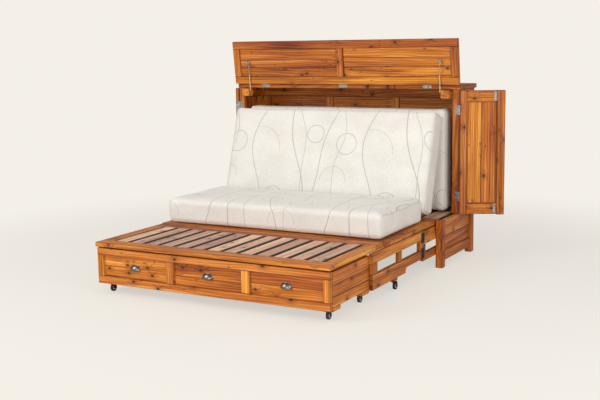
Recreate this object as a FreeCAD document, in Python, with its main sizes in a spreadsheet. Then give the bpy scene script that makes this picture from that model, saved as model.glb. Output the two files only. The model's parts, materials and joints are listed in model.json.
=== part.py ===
import FreeCAD, Part
import os
import Sketcher

Vector = FreeCAD.Vector
Rotation = FreeCAD.Rotation

# Driving dimensions, in millimetres and degrees.
SIZES = {
    # cabinet case
    "case_width": 1634, "case_depth": 590, "base_height": 300, "case_height": 1096,
    "post_wide": 46, "post_deep": 50, "setback": 282, "foot_wide": 46,
    "side_thick": 22, "side_inset": 6, "side_rail_low": 42, "side_rail_tall": 60,
    "side_rail_top": 40, "back_thick": 18, "back_stile": 60, "back_rail": 70,
    "back_foot_gap": 95, "panel_thick": 10, "top_thick": 28, "top_overhang": 9,
    "lid_nose": 10, "lid_stile": 50, "lid_rail": 50, "mid_gap": 3,
    "plank_count": 12, "plank_gap": 3,
    "plank_thick": 20, "deck_gap": 3,
    # wings
    "wing_gap": 4, "wing_edge": 6, "wing_thick": 22, "panel_inset": 5, "wing_stile": 42,
    "wing_rail": 68, "corner_post": 48,
    "wing_swing_right": 115, "wing_swing_left": 165,
    "wing_hinge_up": 85, "wing_hinge_down": 158, "plate_up": 8, "plate_tall": 60, "plate_wide": 18,
    "plate_thick": 1.5, "plate_gap": 0.5,
    # drawer
    "drawer_gap": 23, "drawer_out": 1401, "drawer_low": 60, "drawer_head": 7,
    "front_thick": 22, "front_rail_top": 40, "front_rail_low": 43, "front_stile": 42,
    "front_mullion": 50, "box_thick": 18, "box_low": 76, "box_head": 5, "box_length": 465,
    "bottom_thick": 8, "pull_radius": 36, "pull_deep": 22, "pull_wall": 2.5,
    "block_size": 92, "foot_block": 60,
    # decks
    "deck_thick": 26, "deck_front_gap": 18, "deck_mid_gap": 4, "deck_split": 753,
    "deck_lip": 8, "deck_stile": 72, "slat_rail_front": 79, "slat_rail_back": 100, "slat_count": 13,
    "slat_gap": 13, "deck_pivot_back": 45, "fold_gap": 2,
    # folding side frames
    "frame_thick": 20, "frame_clear": 1.5, "frame_head": 6, "frame_low": 68,
    "frame_step": 99, "frame_step_at": 473, "knee_at": 208, "pivot_from_rear": 65,
    "window_low": 153, "window_head": 54, "frame_stile": 48, "knee_clear": 3.5,
    "rear_low": 82, "rear_rail": 50, "rear_board": 83, "step_round": 24, "frame_end": 70,
    "first_window": 292, "rear_stile": 44, "rear_tail": 10, "rear_top_gap": 3, "collar": 6, "collar_gap": 2,
    "knee_out": 2, "knee_foot": 2, "knee_head": 6,
    # hinges
    "barrel": 3.2, "knee_barrel": 3.0, "knee_offset": 0.6, "hinge_offset": 0.1, "hinge_pin": 1.6,
    "leaf": 1.3, "leaf_wide": 26, "hinge_tall": 60,
    "knee_leaf_wide": 26, "knee_leaf_tall": 66, "deck_hinge_tall": 76, "pin_fit": 0.05, "deck_barrel": 2.8,
    "deck_leaf": 1.5, "deck_offset": 0.2, "deck_hinge_inset": 253, "pivot_pin": 4, "pin_depth": 29,
    # lid stays
    "stay_reach": 150, "stay_inset": 68, "stay_drop": 12, "stay_ahead": 37, "barrel_radius": 4.5,
    "barrel_length": 104, "rod_radius": 2.2, "stay_block": 56, "block_ahead": 12,
    "stay_bracket": 7.5, "stay_eye": 5, "stay_eye_wide": 9, "stay_pin": 3, "stay_gap": 0.5,
    "bracket_wide": 8, "bracket_long": 24, "bracket_tall": 14, "lid_open": 83, "lid_hinge_inset": 217,
    # casters
    "caster_tall": 54, "wheel_radius": 22, "wheel_wide": 16, "trail": 16, "crown": 11,
    "axle_radius": 3, "fork_wall": 3, "caster_gap": 0.4, "caster_inset": 48,
    "caster_front": 56, "caster_rear": 428, "caster_frame": 625,
    # mattress
    "pad_gap": 26, "pad_thick": 150, "pad_round": 30, "seat_from": 748, "seat_length": 640,
    "pad_lift": 2, "back_pad_room": 136, "back_lean": 18, "back_foot_at": 43, "back_lift": 5,
    "rear_pad_from_rear": 334, "rear_pad_room": 116,
}

# Sizes that follow from others: how often each named size counts in the sum.
INSIDE = {"case_width": 1, "post_wide": -2}
UPPER = {"case_height": 1, "base_height": -1}
UNDER_DECK = {"base_height": 1, "deck_thick": -1}
FOLLOWS = {
    "drawer_width": {**INSIDE, "drawer_gap": -2},
    "drawer_top": {**UNDER_DECK, "drawer_head": -1},
    "box_top": {"drawer_top": 1, "box_head": -1},
    "deck_front_width": {**INSIDE, "deck_front_gap": -2},
    "deck_mid_width": {**INSIDE, "deck_mid_gap": -2},
    "slat_span": {"deck_front_width": 1, "deck_stile": -2},
    "frame_top": {**UNDER_DECK, "frame_head": -1},
    "frame_pivot_back": {"case_depth": 1, "pivot_from_rear": -1},
    "window_top": {"frame_top": 1, "window_head": -1},
    "rear_board_low": {"frame_top": 1, "rear_board": -1},
    "pad_width": {**INSIDE, "pad_gap": -2},
    "back_length": {**UPPER, "back_pad_room": -1},
    "rear_pad_tall": {**UPPER, "rear_pad_room": -1},
    "rear_pad_at": {"case_depth": 1, "rear_pad_from_rear": -1},
    "stay_x": {"case_width": 0.5, "post_wide": -1, "stay_inset": -1},
    "caster_side": {"drawer_width": 0.5, "caster_inset": -1},
    "lid_hinge_at": {"case_width": 0.5, "lid_hinge_inset": -1},
    "deck_hinge_at": {"deck_front_width": 0.5, "deck_hinge_inset": -1},
    "lid_length": {"setback": 1, "lid_nose": 1},
}

doc = FreeCAD.newDocument("cabinet_bed")
sheet = doc.addObject("Spreadsheet::Sheet", "dims")
for row, (alias, number) in enumerate(SIZES.items(), start=1):
    sheet.set(f"A{row}", alias)
    sheet.set(f"B{row}", str(number))
    sheet.setAlias(f"B{row}", alias)
doc.recompute()


class Size:
    """The sheet's values by name, for places and for shapes made in code."""

    def __getattr__(self, alias):
        if alias in FOLLOWS:
            return sum(times * getattr(self, word) for word, times in FOLLOWS[alias].items())
        return float(sheet.get(alias))


s = Size()
NODES = {}


def bound(text):
    """The expression text with every size name pointed at the sheet."""
    words = []
    word = ""
    for letter in text + " ":
        if letter.isalnum() or letter == "_":
            word += letter
            continue
        if word in FOLLOWS:
            terms = [f"{times} * {name}" for name, times in FOLLOWS[word].items()]
            word = "(" + bound(" + ".join(terms)) + ")"
        elif word in SIZES:
            word = "dims." + word
        words.append(word)
        words.append(letter)
        word = ""
    return "".join(words).strip()


def node(name, item):
    item.Label = name
    NODES[name] = item
    return item


def board(size, at):
    """One plain board: its size in sheet names, its low corner in numbers."""
    item = doc.addObject("Part::Box", "board")
    item.setExpression("Length", bound(size[0]))
    item.setExpression("Width", bound(size[1]))
    item.setExpression("Height", bound(size[2]))
    item.Placement.Base = Vector(*at)
    return item


def rod(radius, length, at, along=Vector(0, 0, 1)):
    item = doc.addObject("Part::Cylinder", "rod")
    item.setExpression("Radius", bound(radius))
    item.setExpression("Height", bound(length))
    item.Placement = FreeCAD.Placement(Vector(*at), Rotation(Vector(0, 0, 1), along))
    return item


def cut(base, tool):
    item = doc.addObject("Part::Cut", "cut")
    item.Base = base
    item.Tool = tool
    return item


def fuse(pieces):
    item = doc.addObject("Part::MultiFuse", "fuse")
    item.Shapes = pieces
    item.Refine = True
    return item


def group(pieces):
    item = doc.addObject("Part::Compound", "group")
    item.Links = pieces
    return item


def made(shape):
    item = doc.addObject("Part::Feature", "made")
    item.Shape = shape
    return item


def turned(item, point, along, degrees):
    """Swing an item about an axis through a point, on top of its own place."""
    swing = FreeCAD.Placement(Vector(0, 0, 0), Rotation(along, degrees), point)
    item.Placement = swing.multiply(item.Placement)
    return item


PLANES = {"XY": ("XY_Plane", False), "XZ": ("XZ_Plane", True), "YZ": ("YZ_Plane", False)}


def rectangle(sketch, corner, size):
    """A rectangle whose corner and sides are held by the sheet."""
    low = Vector(1 + sketch.GeometryCount, 1, 0)
    points = [low, low + Vector(5, 0, 0), low + Vector(5, 5, 0), low + Vector(0, 5, 0)]
    first = sketch.GeometryCount
    for i in range(4):
        sketch.addGeometry(Part.LineSegment(points[i], points[(i + 1) % 4]), False)
    for i in range(4):
        sketch.addConstraint(Sketcher.Constraint("Coincident", first + i, 2, first + (i + 1) % 4, 1))
        sketch.addConstraint(Sketcher.Constraint("Horizontal" if i % 2 == 0 else "Vertical", first + i))
    held = [
        ("DistanceX", (-1, 1, first, 1), corner[0]), ("DistanceY", (-1, 1, first, 1), corner[1]),
        ("DistanceX", (first, 1, first, 2), size[0]), ("DistanceY", (first + 1, 1, first + 1, 2), size[1]),
    ]
    for kind, ends, text in held:
        if text == "0":
            match = Sketcher.Constraint("PointOnObject", first, 1, -2 if kind == "DistanceX" else -1)
            sketch.addConstraint(match)
            continue
        index = sketch.addConstraint(Sketcher.Constraint(kind, *ends, 10.0))
        sketch.setExpression(f"Constraints[{index}]", bound(text))


def frame(plane, size, windows, thick, at):
    """A flat frame: an outline with windows, padded through its thickness."""
    body = doc.addObject("PartDesign::Body", "frame")
    sketch = body.newObject("Sketcher::SketchObject", "outline")
    role, back = PLANES[plane]
    origin = [f for f in body.Origin.OriginFeatures if f.Role == role][0]
    sketch.AttachmentSupport = [(origin, "")]
    sketch.MapMode = "FlatFace"
    rectangle(sketch, ("0", "0"), size)
    for window in windows:
        rectangle(sketch, window[:2], window[2:])
    pad = body.newObject("PartDesign::Pad", "pad")
    pad.Profile = sketch
    pad.setExpression("Length", bound(thick))
    pad.Reversed = back
    body.Placement.Base = Vector(*at)
    return body


def hinge(at, along, leaf_way, opening, tall, barrel, leaf, wide, offset):
    """A butt hinge's fixed side with its pin, and its moving side.

    Both leaves start out facing each other along leaf_way, each offset from the axis.
    The moving side is then opened about the axis.
    """
    pin_hole = s.hinge_pin + s.pin_fit
    third = tall / 3
    gap = 0.2
    sides = []
    for own, side in (((0, 2), 1), ((1,), -1)):
        low = offset if side > 0 else -offset - leaf
        plate = Part.makeBox(wide, leaf, tall, Vector(0, low, 0))
        plate = plate.cut(Part.makeCylinder(barrel + 0.3, tall))
        shape = plate
        for k in own:
            start = k * third + (gap if k else 0)
            length = third - gap * (2 if k == 1 else 1)
            knuckle = Part.makeCylinder(barrel, length, Vector(0, 0, start))
            tab = Part.makeBox(barrel + 1, leaf, length, Vector(0, low, start))
            shape = shape.fuse([knuckle, tab])
        shape = shape.cut(Part.makeCylinder(pin_hole, tall))
        sides.append(shape.removeSplitter())
    pin = Part.makeCylinder(s.hinge_pin, tall)
    normal = along.cross(leaf_way)
    turn = Rotation(leaf_way, normal, along, "ZXY")
    place = FreeCAD.Placement(at, turn)
    fixed, moving = sides
    moving.Placement = place.multiply(FreeCAD.Placement(Vector(), Rotation(Vector(0, 0, 1), opening)))
    fixed.Placement = place
    pin.Placement = place
    return [fixed, pin], [moving]


X, Y, Z = Vector(1, 0, 0), Vector(0, 1, 0), Vector(0, 0, 1)

# Places. The origin is under the middle rear foot, on the floor.
front = s.post_deep / 2 - s.case_depth
rear = front + s.case_depth
half = s.case_width / 2
inner = half - s.post_wide
mid_line = front + s.setback
deck_low = s.base_height - s.deck_thick
top_face = s.case_height + s.top_thick
SIDES = {"left": -1, "right": 1}


def mirrored(side, low, high):
    """The low X of a span given for the right-hand side."""
    return low if side > 0 else -high


# ---------------------------------------------------------------- base of the cabinet
posts = []
for side in SIDES.values():
    for y in (front, rear - s.post_deep):
        x = mirrored(side, inner, half)
        posts.append(board(("post_wide", "post_deep", "base_height"), (x, y, 0)))
posts.append(board(("foot_wide", "post_deep", "base_height - plank_thick"),
                   (-s.foot_wide / 2, rear - s.post_deep, 0)))
node("base_posts", group(posts))

sides = []
span = "case_depth - 2 * post_deep"
for side in SIDES.values():
    x = mirrored(side, half - s.side_inset - s.side_thick, half - s.side_inset)
    low, high = s.side_rail_low, s.base_height - s.side_rail_top
    rail_low = board(("side_thick", span, "side_rail_tall"), (x, front + s.post_deep, low))
    rail_top = board(("side_thick", span, "side_rail_top"), (x, front + s.post_deep, high))
    x = mirrored(side, half - s.side_inset - s.side_thick, half - s.side_inset - s.side_thick + s.panel_thick)
    tall = "base_height - side_rail_top - side_rail_low - side_rail_tall"
    field = board(("panel_thick", span, tall), (x, front + s.post_deep, low + s.side_rail_tall))
    sides.append(fuse([rail_low, rail_top, field]))
node("base_sides", group(sides))

back = board(("case_width - 2 * post_wide", "back_thick", "base_height - back_foot_gap - plank_thick"),
             (-inner, rear - s.back_thick, s.back_foot_gap))
foot_room = board(("foot_wide", "back_thick", "base_height - back_foot_gap - plank_thick"),
                  (-s.foot_wide / 2, rear - s.back_thick, s.back_foot_gap))
node("base_back_panel", cut(back, foot_room))

deck_pivot = Vector(0, front + s.deck_pivot_back, deck_low + s.deck_thick / 2)
deck_from = deck_pivot.y + s.deck_thick / 2 + s.deck_gap
planks = []
count = int(s.plank_count)
pitch = (2 * inner - s.plank_gap) / count
for i in range(count):
    size = ("(case_width - 2 * post_wide - plank_gap) / plank_count - plank_gap",
            "case_depth - deck_pivot_back - deck_thick / 2 - deck_gap", "plank_thick")
    planks.append(board(size, (-inner + s.plank_gap + i * pitch, deck_from, s.base_height - s.plank_thick)))
node("rear_deck_planks", group(planks))

# ---------------------------------------------------------------- upper cabinet, fixed rear half
mid_posts = []
for side in SIDES.values():
    x = mirrored(side, inner, half)
    mid_posts.append(board(("post_wide", "post_deep", "case_height - base_height"),
                           (x, mid_line, s.base_height)))
node("upper_mid_posts", group(mid_posts))

side_frames = []
side_panels = []
side_from = mid_line + s.post_deep
for side in SIDES.values():
    low, high = half - s.side_inset - s.side_thick, half - s.side_inset
    x = mirrored(side, low, high)
    width, tall = "case_depth - setback - post_deep", "case_height - base_height"
    window = ("back_stile", "back_rail", width + " - 2 * back_stile", tall + " - 2 * back_rail")
    side_frames.append(frame("YZ", (width, tall), [window], "side_thick", (x, side_from, s.base_height)))
    x = mirrored(side, low, low + s.panel_thick)
    side_panels.append(board(("panel_thick", window[2], window[3]),
                             (x, side_from + s.back_stile, s.base_height + s.back_rail)))
node("upper_side_frames", group(side_frames))
node("upper_side_panels", group(side_panels))

back_half = half - s.side_inset - s.side_thick
back_wide = "case_width - 2 * side_inset - 2 * side_thick"
back_tall = "case_height - base_height"
pane = f"(({back_wide} - 4 * back_stile) / 3)"
windows = []
panels = []
pane_wide = (2 * back_half - 4 * s.back_stile) / 3
for i in range(3):
    start = f"back_stile + {i} * ({pane} + back_stile)" if i else "back_stile"
    windows.append((start, "back_rail", pane, back_tall + " - 2 * back_rail"))
    x = -back_half + s.back_stile + i * (pane_wide + s.back_stile)
    panels.append(board((pane, "panel_thick", back_tall + " - 2 * back_rail"),
                        (x, rear - s.panel_thick, s.base_height + s.back_rail)))
node("back_frame", frame("XZ", (back_wide, back_tall), windows, "back_thick",
                         (-back_half, rear - s.back_thick, s.base_height)))
node("back_panels", group(panels))

# ---------------------------------------------------------------- the two halves of the top
top_wide = "(case_width + 2 * top_overhang)"
top_half = half + s.top_overhang
LEAF_HALF = f"(({top_wide} - 3 * lid_stile) / 2)"
leaf_half = (2 * top_half - 3 * s.lid_stile) / 2


def top_leaf(depth, low_y):
    """A framed leaf of the top with its two recessed panels, lying closed."""
    inside = depth + " - 2 * lid_rail"
    holes = [("lid_stile", "lid_rail", LEAF_HALF, inside),
             (f"2 * lid_stile + {LEAF_HALF}", "lid_rail", LEAF_HALF, inside)]
    border = frame("XY", (top_wide, depth), holes, "top_thick", (-top_half, low_y, s.case_height))
    fields = []
    for i in range(2):
        x = -top_half + s.lid_stile + i * (leaf_half + s.lid_stile)
        z = s.case_height + (s.top_thick - s.panel_thick) / 2
        fields.append(board((LEAF_HALF, inside, "panel_thick"), (x, low_y + s.lid_rail, z)))
    return border, fields


border, fields = top_leaf("case_depth - setback - mid_gap / 2", mid_line + s.mid_gap / 2)
node("fixed_top", fuse([border, *fields]))

lid_axis = Vector(0, mid_line, top_face + s.barrel + 0.3)
lid_low = mid_line - s.mid_gap / 2 - s.lid_length
border, fields = top_leaf("lid_length", lid_low)
node("lid_frame", turned(border, lid_axis, X, -s.lid_open))
node("lid_panels", turned(group(fields), lid_axis, X, -s.lid_open))

# ---------------------------------------------------------------- lid stays
stay_low = Vector(0, mid_line - s.stay_ahead, s.case_height - s.stay_drop)
stay_shut = Vector(0, mid_line - s.stay_reach, s.case_height - s.stay_bracket)
stay_high = Rotation(X, -s.lid_open).multVec(stay_shut - lid_axis) + lid_axis
stay_span = (stay_high - stay_low).Length
stay_way = (stay_high - stay_low) / stay_span

blocks = []
block_from = mid_line - s.stay_ahead - s.block_ahead
bracket_in = s.stay_x + s.stay_eye_wide / 2 + s.stay_gap
for side in SIDES.values():
    x = mirrored(side, bracket_in, inner)
    block = board(("case_width / 2 - post_wide - stay_x - stay_eye_wide / 2 - stay_gap",
                   "stay_block", "stay_block"), (x, block_from, s.case_height - s.stay_block))
    hole = rod("stay_pin + pin_fit", "2 * stay_block", (x - 1, stay_low.y, stay_low.z), X)
    blocks.append(cut(block, hole))
node("stay_blocks", group(blocks))

brackets = []
for side in SIDES.values():
    x = mirrored(side, bracket_in, bracket_in + s.bracket_wide)
    corner = Vector(x, stay_shut.y - s.bracket_long / 2, s.case_height - s.bracket_tall)
    brackets.append(Part.makeBox(s.bracket_wide, s.bracket_long, s.bracket_tall, corner))

for word, side in SIDES.items():
    low = Vector(side * s.stay_x, stay_low.y, stay_low.z)
    eye = Part.makeCylinder(s.stay_eye, s.stay_eye_wide, low - X * (s.stay_eye_wide / 2), X)
    pin = Part.makeCylinder(s.stay_pin, s.stay_block / 2, low, X * side)
    tube = Part.makeCylinder(s.barrel_radius, s.barrel_length - 2, low + stay_way * 2, stay_way)
    bore = Part.makeCylinder(s.rod_radius + s.pin_fit, s.barrel_length, low + stay_way * 6, stay_way)
    node(f"stay_barrel_{word}", made(eye.fuse([tube, pin]).cut(bore)))
    high = low + stay_way * stay_span
    eye = Part.makeCylinder(s.stay_eye, s.stay_eye_wide, high - X * (s.stay_eye_wide / 2), X)
    shaft = Part.makeCylinder(s.rod_radius, s.barrel_length, high - stay_way * s.barrel_length, stay_way)
    node(f"stay_rod_{word}", made(eye.fuse(shaft)))

# ---------------------------------------------------------------- wings
wing_low = s.base_height + s.wing_gap
wing_tall = "case_height - base_height - 2 * wing_gap"
wing_deep = "setback - mid_gap - corner_post"
wing_axis = {}
for word, side in SIDES.items():
    swing = {"right": s.wing_swing_right, "left": -s.wing_swing_left}[word]
    axis = Vector(side * (half + s.barrel + 0.3), mid_line - s.mid_gap / 2, 0)
    wing_axis[word] = axis
    low = half - s.wing_thick
    x = mirrored(side, low, half)
    window = ("wing_edge", "wing_rail", wing_deep + " - wing_stile - wing_edge",
              wing_tall + " - 2 * wing_rail")
    border = frame("YZ", (wing_deep, wing_tall), [window], "wing_thick", (x, front + s.corner_post, wing_low))
    x = mirrored(side, low + s.panel_inset, low + s.panel_inset + s.panel_thick)
    panel = board(("panel_thick", window[2], window[3]),
                  (x, front + s.corner_post + s.wing_edge, wing_low + s.wing_rail))
    node(f"wing_door_{word}", turned(fuse([border, panel]), axis, Z, swing))
    x = mirrored(side, inner, half)
    post = board(("post_wide", "corner_post", wing_tall), (x, front, wing_low))
    node(f"wing_post_{word}", turned(post, axis, Z, swing))

# ---------------------------------------------------------------- chrome hinges of lid and wings
fixed_leaves = []
wing_hinge_at = [s.base_height + s.wing_hinge_up, s.case_height - s.wing_hinge_down]
for word, side in SIDES.items():
    swing = {"right": s.wing_swing_right, "left": -s.wing_swing_left}[word]
    moving = []
    for z in wing_hinge_at:
        at = Vector(wing_axis[word].x, wing_axis[word].y, z)
        along = Z if side < 0 else Z * -1
        start = at if side < 0 else at + Z * s.hinge_tall
        still, swung = hinge(start, along, X * -side, -abs(swing), s.hinge_tall,
                             s.barrel, s.leaf, s.leaf_wide, s.hinge_offset)
        fixed_leaves += still
        moving += swung
    plates = []
    for z in (wing_low + s.plate_up, s.case_height - s.wing_gap - s.plate_up - s.plate_tall):
        x = mirrored(side, half - s.wing_thick - s.plate_thick, half - s.wing_thick)
        corner = Vector(x, front + s.corner_post + s.plate_gap, z)
        plate = Part.makeBox(s.plate_thick, s.plate_wide, s.plate_tall, corner)
        plate.rotate(wing_axis[word], Z, swing)
        plates.append(plate)
    node(f"wing_hinge_leaves_{word}", made(Part.makeCompound(moving + plates)))

lid_leaves = []
for x in (-s.lid_hinge_at, 0, s.lid_hinge_at):
    start = Vector(x - s.hinge_tall / 2, lid_axis.y, lid_axis.z)
    still, swung = hinge(start, X, Z * -1, -s.lid_open, s.hinge_tall, s.barrel, s.leaf,
                         s.leaf_wide - 2, s.hinge_offset)
    fixed_leaves += still
    lid_leaves += swung
node("cabinet_hinges", made(Part.makeCompound(fixed_leaves)))
for bracket in brackets:
    bracket.rotate(lid_axis, X, -s.lid_open)
node("lid_hardware", made(Part.makeCompound(lid_leaves + brackets)))

# ---------------------------------------------------------------- drawer on casters
drawer_half = s.drawer_width / 2
drawer_front = front - s.drawer_out
drawer_back = drawer_front + s.box_length
face_tall = "(drawer_top - drawer_low)"
field_wide = "((drawer_width - 2 * front_stile - 2 * front_mullion) / 3)"
field_w = (s.drawer_width - 2 * s.front_stile - 2 * s.front_mullion) / 3
windows = []
fields = []
for i in range(3):
    start = f"front_stile + {i} * ({field_wide} + front_mullion)" if i else "front_stile"
    tall = face_tall + " - front_rail_top - front_rail_low"
    windows.append((start, "front_rail_low", field_wide, tall))
    x = -drawer_half + s.front_stile + i * (field_w + s.front_mullion)
    fields.append(board((field_wide, "panel_thick", tall),
                        (x, drawer_front + s.front_thick - s.panel_thick, s.drawer_low + s.front_rail_low)))
node("drawer_front_frame", frame("XZ", ("drawer_width", face_tall), windows, "front_thick",
                                 (-drawer_half, drawer_front, s.drawer_low)))
node("drawer_front_panels", group(fields))

pulls = []
panel_face = drawer_front + s.front_thick - s.panel_thick
pull_z = (s.drawer_low + s.front_rail_low + s.drawer_top - s.front_rail_top) / 2
for i in (-1, 0, 1):
    x = i * (field_w + s.front_mullion)
    centre = Vector(x, panel_face + s.pull_radius - s.pull_deep, pull_z - 8)
    outer = Part.makeSphere(s.pull_radius, centre)
    hollow = Part.makeSphere(s.pull_radius - s.pull_wall, centre)
    keep = Part.makeBox(3 * s.pull_radius, s.pull_radius, 2 * s.pull_radius,
                        Vector(x - 1.5 * s.pull_radius, panel_face - s.pull_radius, pull_z - 10))
    pulls.append(outer.cut(hollow).common(keep))
node("drawer_pulls", made(Part.makeCompound(pulls)))

box_from = drawer_front + s.front_thick
walls = []
for side in SIDES.values():
    x = mirrored(side, drawer_half - s.box_thick, drawer_half)
    walls.append(board(("box_thick", "box_length - front_thick", "box_top - box_low"),
                       (x, box_from, s.box_low)))
walls.append(board(("drawer_width - 2 * box_thick", "box_thick", "box_top - box_low"),
                   (-drawer_half + s.box_thick, drawer_back - s.box_thick, s.box_low)))
walls.append(board(("drawer_width - 2 * box_thick", "box_length - front_thick - box_thick", "bottom_thick"),
                   (-drawer_half + s.box_thick, box_from, s.box_low)))
node("drawer_box", fuse(walls))
blocks = []
for side in SIDES.values():
    for y in (box_from, drawer_back - s.block_size):
        x = mirrored(side, drawer_half - s.block_size, drawer_half)
        blocks.append(board(("block_size", "block_size", "box_low - caster_tall"), (x, y, s.caster_tall)))
node("drawer_caster_blocks", group(blocks))

# ---------------------------------------------------------------- slatted decks
slat_half = s.slat_span / 2
slat_wide = (s.slat_span - (s.slat_count + 1) * s.slat_gap) / s.slat_count
SLAT_WIDE = "((slat_span - (slat_count + 1) * slat_gap) / slat_count)"


def deck(width, length, at_y, rail_low, rail_high):
    """A framed slatted deck: the frame and its slats, which run front to back."""
    opening = f"{length} - {rail_low} - {rail_high}"
    hole = (f"({width} - slat_span) / 2", rail_low, "slat_span", opening)
    wide = getattr(s, width)
    border = frame("XY", (width, length), [hole], "deck_thick", (-wide / 2, at_y, deck_low))
    slats = []
    for i in range(int(s.slat_count)):
        x = -slat_half + s.slat_gap + i * (slat_wide + s.slat_gap)
        slats.append(board((SLAT_WIDE, opening, "plank_thick"),
                           (x, at_y + getattr(s, rail_low), s.base_height - s.plank_thick)))
    return border, group(slats)


split = front - s.deck_split
deck_front_length = "(drawer_out + deck_lip - deck_split - fold_gap)"
border, slats = deck("deck_front_width", deck_front_length, drawer_front - s.deck_lip,
                     "slat_rail_front", "slat_rail_back")
node("deck_front_frame", border)
node("deck_front_slats", slats)

deck_mid_length = "(deck_split - fold_gap + deck_pivot_back)"
border, slats = deck("deck_mid_width", deck_mid_length, split + s.fold_gap, "slat_rail_back", "slat_rail_back")
nose = rod("deck_thick / 2", "deck_mid_width", (-s.deck_mid_width / 2, deck_pivot.y, deck_pivot.z), X)
bored = fuse([border, nose])
pins = []
pin_in = s.deck_mid_width / 2 - s.pin_depth
for side in SIDES.values():
    x = mirrored(side, pin_in - 1, s.deck_mid_width / 2 + 1)
    bored = cut(bored, rod("pivot_pin + pin_fit", "pin_depth + 2", (x, deck_pivot.y, deck_pivot.z), X))
    x = mirrored(side, pin_in, inner)
    pins.append(rod("pivot_pin", "case_width / 2 - post_wide - deck_mid_width / 2 + pin_depth",
                    (x, deck_pivot.y, deck_pivot.z), X))
node("deck_mid_frame", bored)
node("deck_mid_slats", slats)

fold_axis = Vector(0, split, deck_low - s.deck_barrel + 0.3)
mid_leaves = []
front_leaves = []
for x in (-s.deck_hinge_at, 0, s.deck_hinge_at):
    start = Vector(x + s.deck_hinge_tall / 2, fold_axis.y, fold_axis.z)
    still, swung = hinge(start, X * -1, Z, 0, s.deck_hinge_tall, s.deck_barrel, s.deck_leaf,
                         s.leaf_wide - 2, s.deck_offset)
    mid_leaves += still
    front_leaves += swung
node("deck_hinge_mid_leaves", made(Part.makeCompound(mid_leaves)))
node("deck_hinge_front_leaves", made(Part.makeCompound(front_leaves)))

# ---------------------------------------------------------------- folding side frames under the decks
frame_out = inner - s.frame_clear
frame_in = frame_out - s.frame_thick
frame_mid = (frame_in + frame_out) / 2
knee = front - s.knee_at
pivot_y = front + s.frame_pivot_back
reach = s.knee_at + s.frame_pivot_back
frame_front = knee - reach
front_length = "(knee_at + frame_pivot_back - knee_clear)"
rear_length = "(knee_at + frame_pivot_back - knee_clear + rear_tail)"
for word, side in SIDES.items():
    x = mirrored(side, frame_in, frame_out)
    low, tall = "window_low - frame_step", "window_top - window_low"
    holes = [("frame_end", low, "first_window", tall),
             ("frame_end + first_window + frame_stile", low,
              front_length + " - frame_end - first_window - 2 * frame_stile", tall)]
    border = frame("YZ", (front_length, "frame_top - frame_step"), holes, "frame_thick",
                   (x, frame_front, s.frame_step))
    keel = board(("frame_thick", "2 * knee_at + frame_pivot_back - frame_step_at",
                  "frame_step - frame_low"), (x, frame_front, s.frame_low))
    step = front - s.frame_step_at
    corner = board(("frame_thick", "step_round", "step_round"), (x, step, s.frame_step - s.step_round))
    scoop = rod("step_round", "frame_thick + 2",
                (x - 1, step + s.step_round, s.frame_step - s.step_round), X)
    foot = board(("frame_thick", "foot_block", "frame_low - caster_tall"),
                 (x, front - s.caster_frame - s.foot_block / 2, s.caster_tall))
    node(f"side_frame_front_{word}", fuse([border, keel, cut(corner, scoop), foot]))

    holes = [("rear_stile", "rear_rail", rear_length + " - rear_stile - rear_stile - rear_tail - rear_tail",
              "rear_board_low - rear_low - rear_rail")]
    border = frame("YZ", (rear_length, "frame_top - rear_low - rear_top_gap"), holes, "frame_thick",
                   (x, knee + s.knee_clear, s.rear_low))
    bore = rod("pivot_pin + pin_fit", "frame_top", (side * frame_mid, pivot_y, 0))
    node(f"side_frame_rear_{word}", cut(border, bore))
    collar_at = (side * frame_mid, pivot_y, s.rear_low - s.collar_gap - s.collar)
    shaft = rod("pivot_pin", "base_height - plank_thick - rear_low + collar_gap + collar", collar_at)
    collar = rod("2 * pivot_pin + 1", "collar", collar_at)
    pins.append(fuse([shaft, collar]))

    rear_leaves = []
    lead_leaves = []
    for z in (s.frame_step + s.knee_foot, s.frame_top - s.knee_leaf_tall - s.knee_head):
        at = Vector(side * (frame_out + s.knee_out), knee, z)
        along = Z if side > 0 else Z * -1
        start = at if side > 0 else at + Z * s.knee_leaf_tall
        still, swung = hinge(start, along, Y, 180, s.knee_leaf_tall, s.knee_barrel, s.leaf,
                             s.knee_leaf_wide, s.knee_offset)
        rear_leaves += still
        lead_leaves += swung
    node(f"knee_hinge_rear_{word}", made(Part.makeCompound(rear_leaves)))
    node(f"knee_hinge_front_{word}", made(Part.makeCompound(lead_leaves)))
node("pivot_pins", group(pins))

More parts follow.
